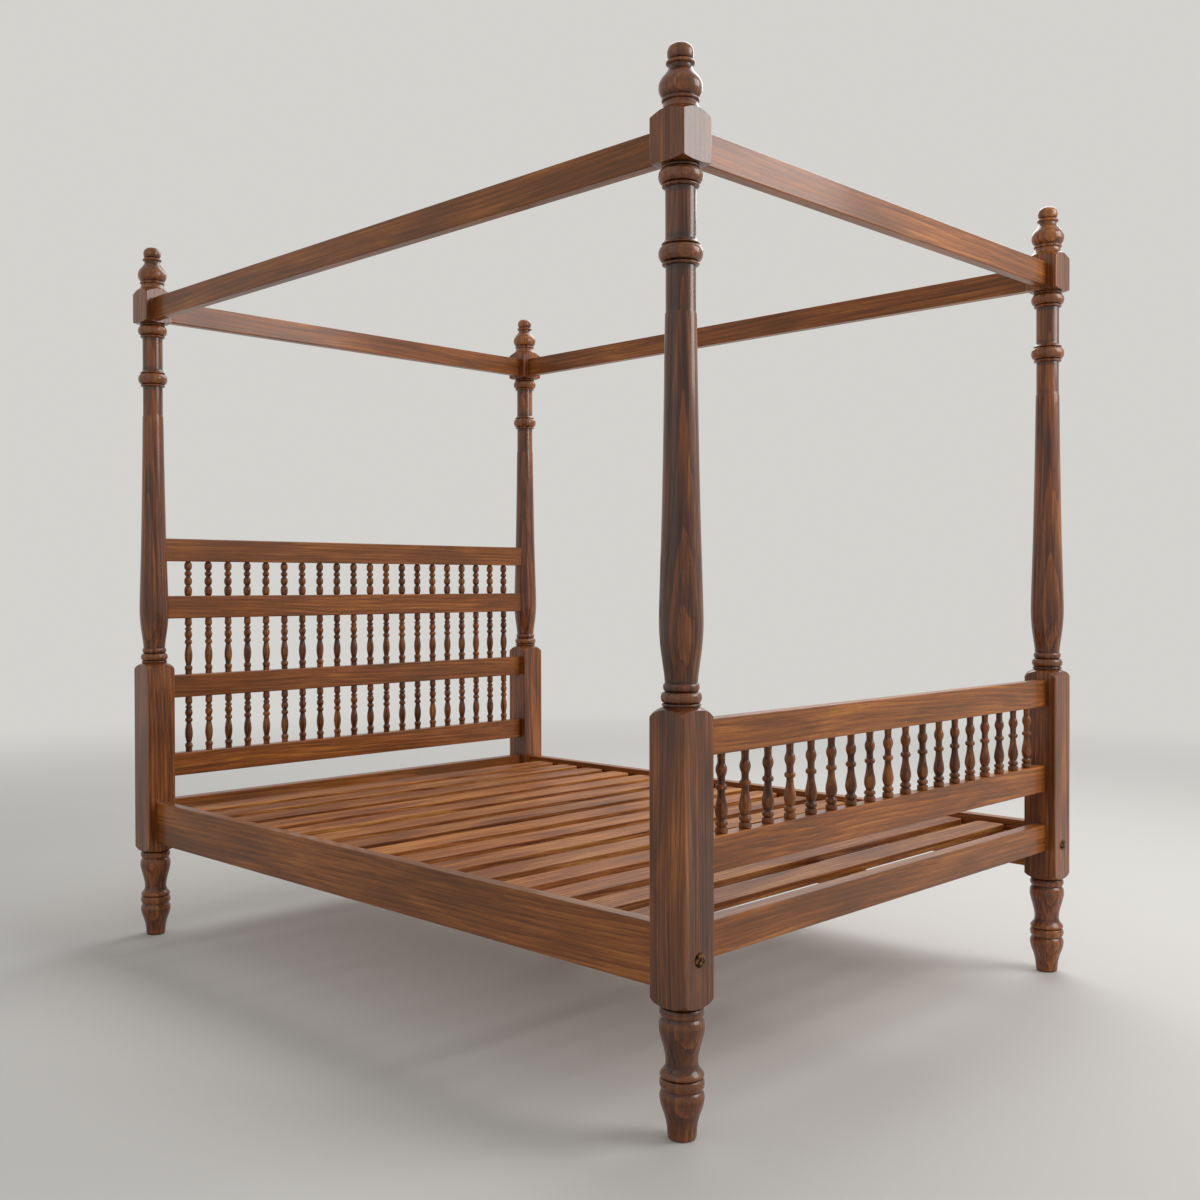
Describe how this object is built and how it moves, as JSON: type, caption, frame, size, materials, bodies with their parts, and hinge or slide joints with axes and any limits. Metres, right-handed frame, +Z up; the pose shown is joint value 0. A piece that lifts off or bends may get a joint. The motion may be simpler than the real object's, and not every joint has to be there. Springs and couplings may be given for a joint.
{
  "type": "four-poster bed",
  "caption": "Wooden four-poster bed with turned posts and finials, plain canopy rails, a spindle headboard and footboard, and a slatted base between side rails for a mattress.",
  "frame": {"origin": "on the floor, in the middle of the four posts", "axes": "+Z up, +Y from the foot end to the head end, +X to the right as seen from the foot"},
  "size_m": [1.65, 2.2, 2.1],
  "materials": {
    "post_wood": "glossy clear lacquer on turned hardwood",
    "rail_wood": "glossy clear lacquer, grain along the rail",
    "spindle_wood": "glossy clear lacquer on turned hardwood",
    "slat_wood": "satin, lighter than the frame",
    "hidden_wood": "plain sealed",
    "bolt_metal": "antique dark"
  },
  "bodies": {
    "root": {"barrel_nuts": "bolt_metal", "beam_seat_foot": "hidden_wood", "beam_seat_head": "hidden_wood", "bed_bolts": "bolt_metal", "canopy_rail_foot": "rail_wood", "canopy_rail_head": "rail_wood", "canopy_rail_left": "rail_wood", "canopy_rail_right": "rail_wood", "centre_leg": "hidden_wood", "finial_foot_left": "post_wood", "finial_foot_right": "post_wood", "finial_head_left": "post_wood", "finial_head_right": "post_wood", "foot_rail": "rail_wood", "footboard_lower_rail": "rail_wood", "footboard_spindles": "spindle_wood", "footboard_top_rail": "rail_wood", "head_rail": "rail_wood", "headboard_lower_rail": "rail_wood", "headboard_middle_rail": "rail_wood", "headboard_spindles_lower": "spindle_wood", "headboard_spindles_middle": "spindle_wood", "headboard_spindles_top": "spindle_wood", "headboard_top_rail": "rail_wood", "headboard_upper_rail": "rail_wood", "post_foot_left": "post_wood", "post_foot_right": "post_wood", "post_head_left": "post_wood", "post_head_right": "post_wood", "side_rail_left": "rail_wood", "side_rail_right": "rail_wood", "slat_01": "slat_wood", "slat_02": "slat_wood", "slat_03": "slat_wood", "slat_04": "slat_wood", "slat_05": "slat_wood", "slat_06": "slat_wood", "slat_07": "slat_wood", "slat_08": "slat_wood", "slat_09": "slat_wood", "slat_10": "slat_wood", "slat_11": "slat_wood", "slat_12": "slat_wood", "slat_13": "slat_wood", "slat_14": "slat_wood", "slat_15": "slat_wood", "slat_ledger_left": "hidden_wood", "slat_ledger_right": "hidden_wood", "slat_support_beam": "hidden_wood"}
  },
  "joints": []
}
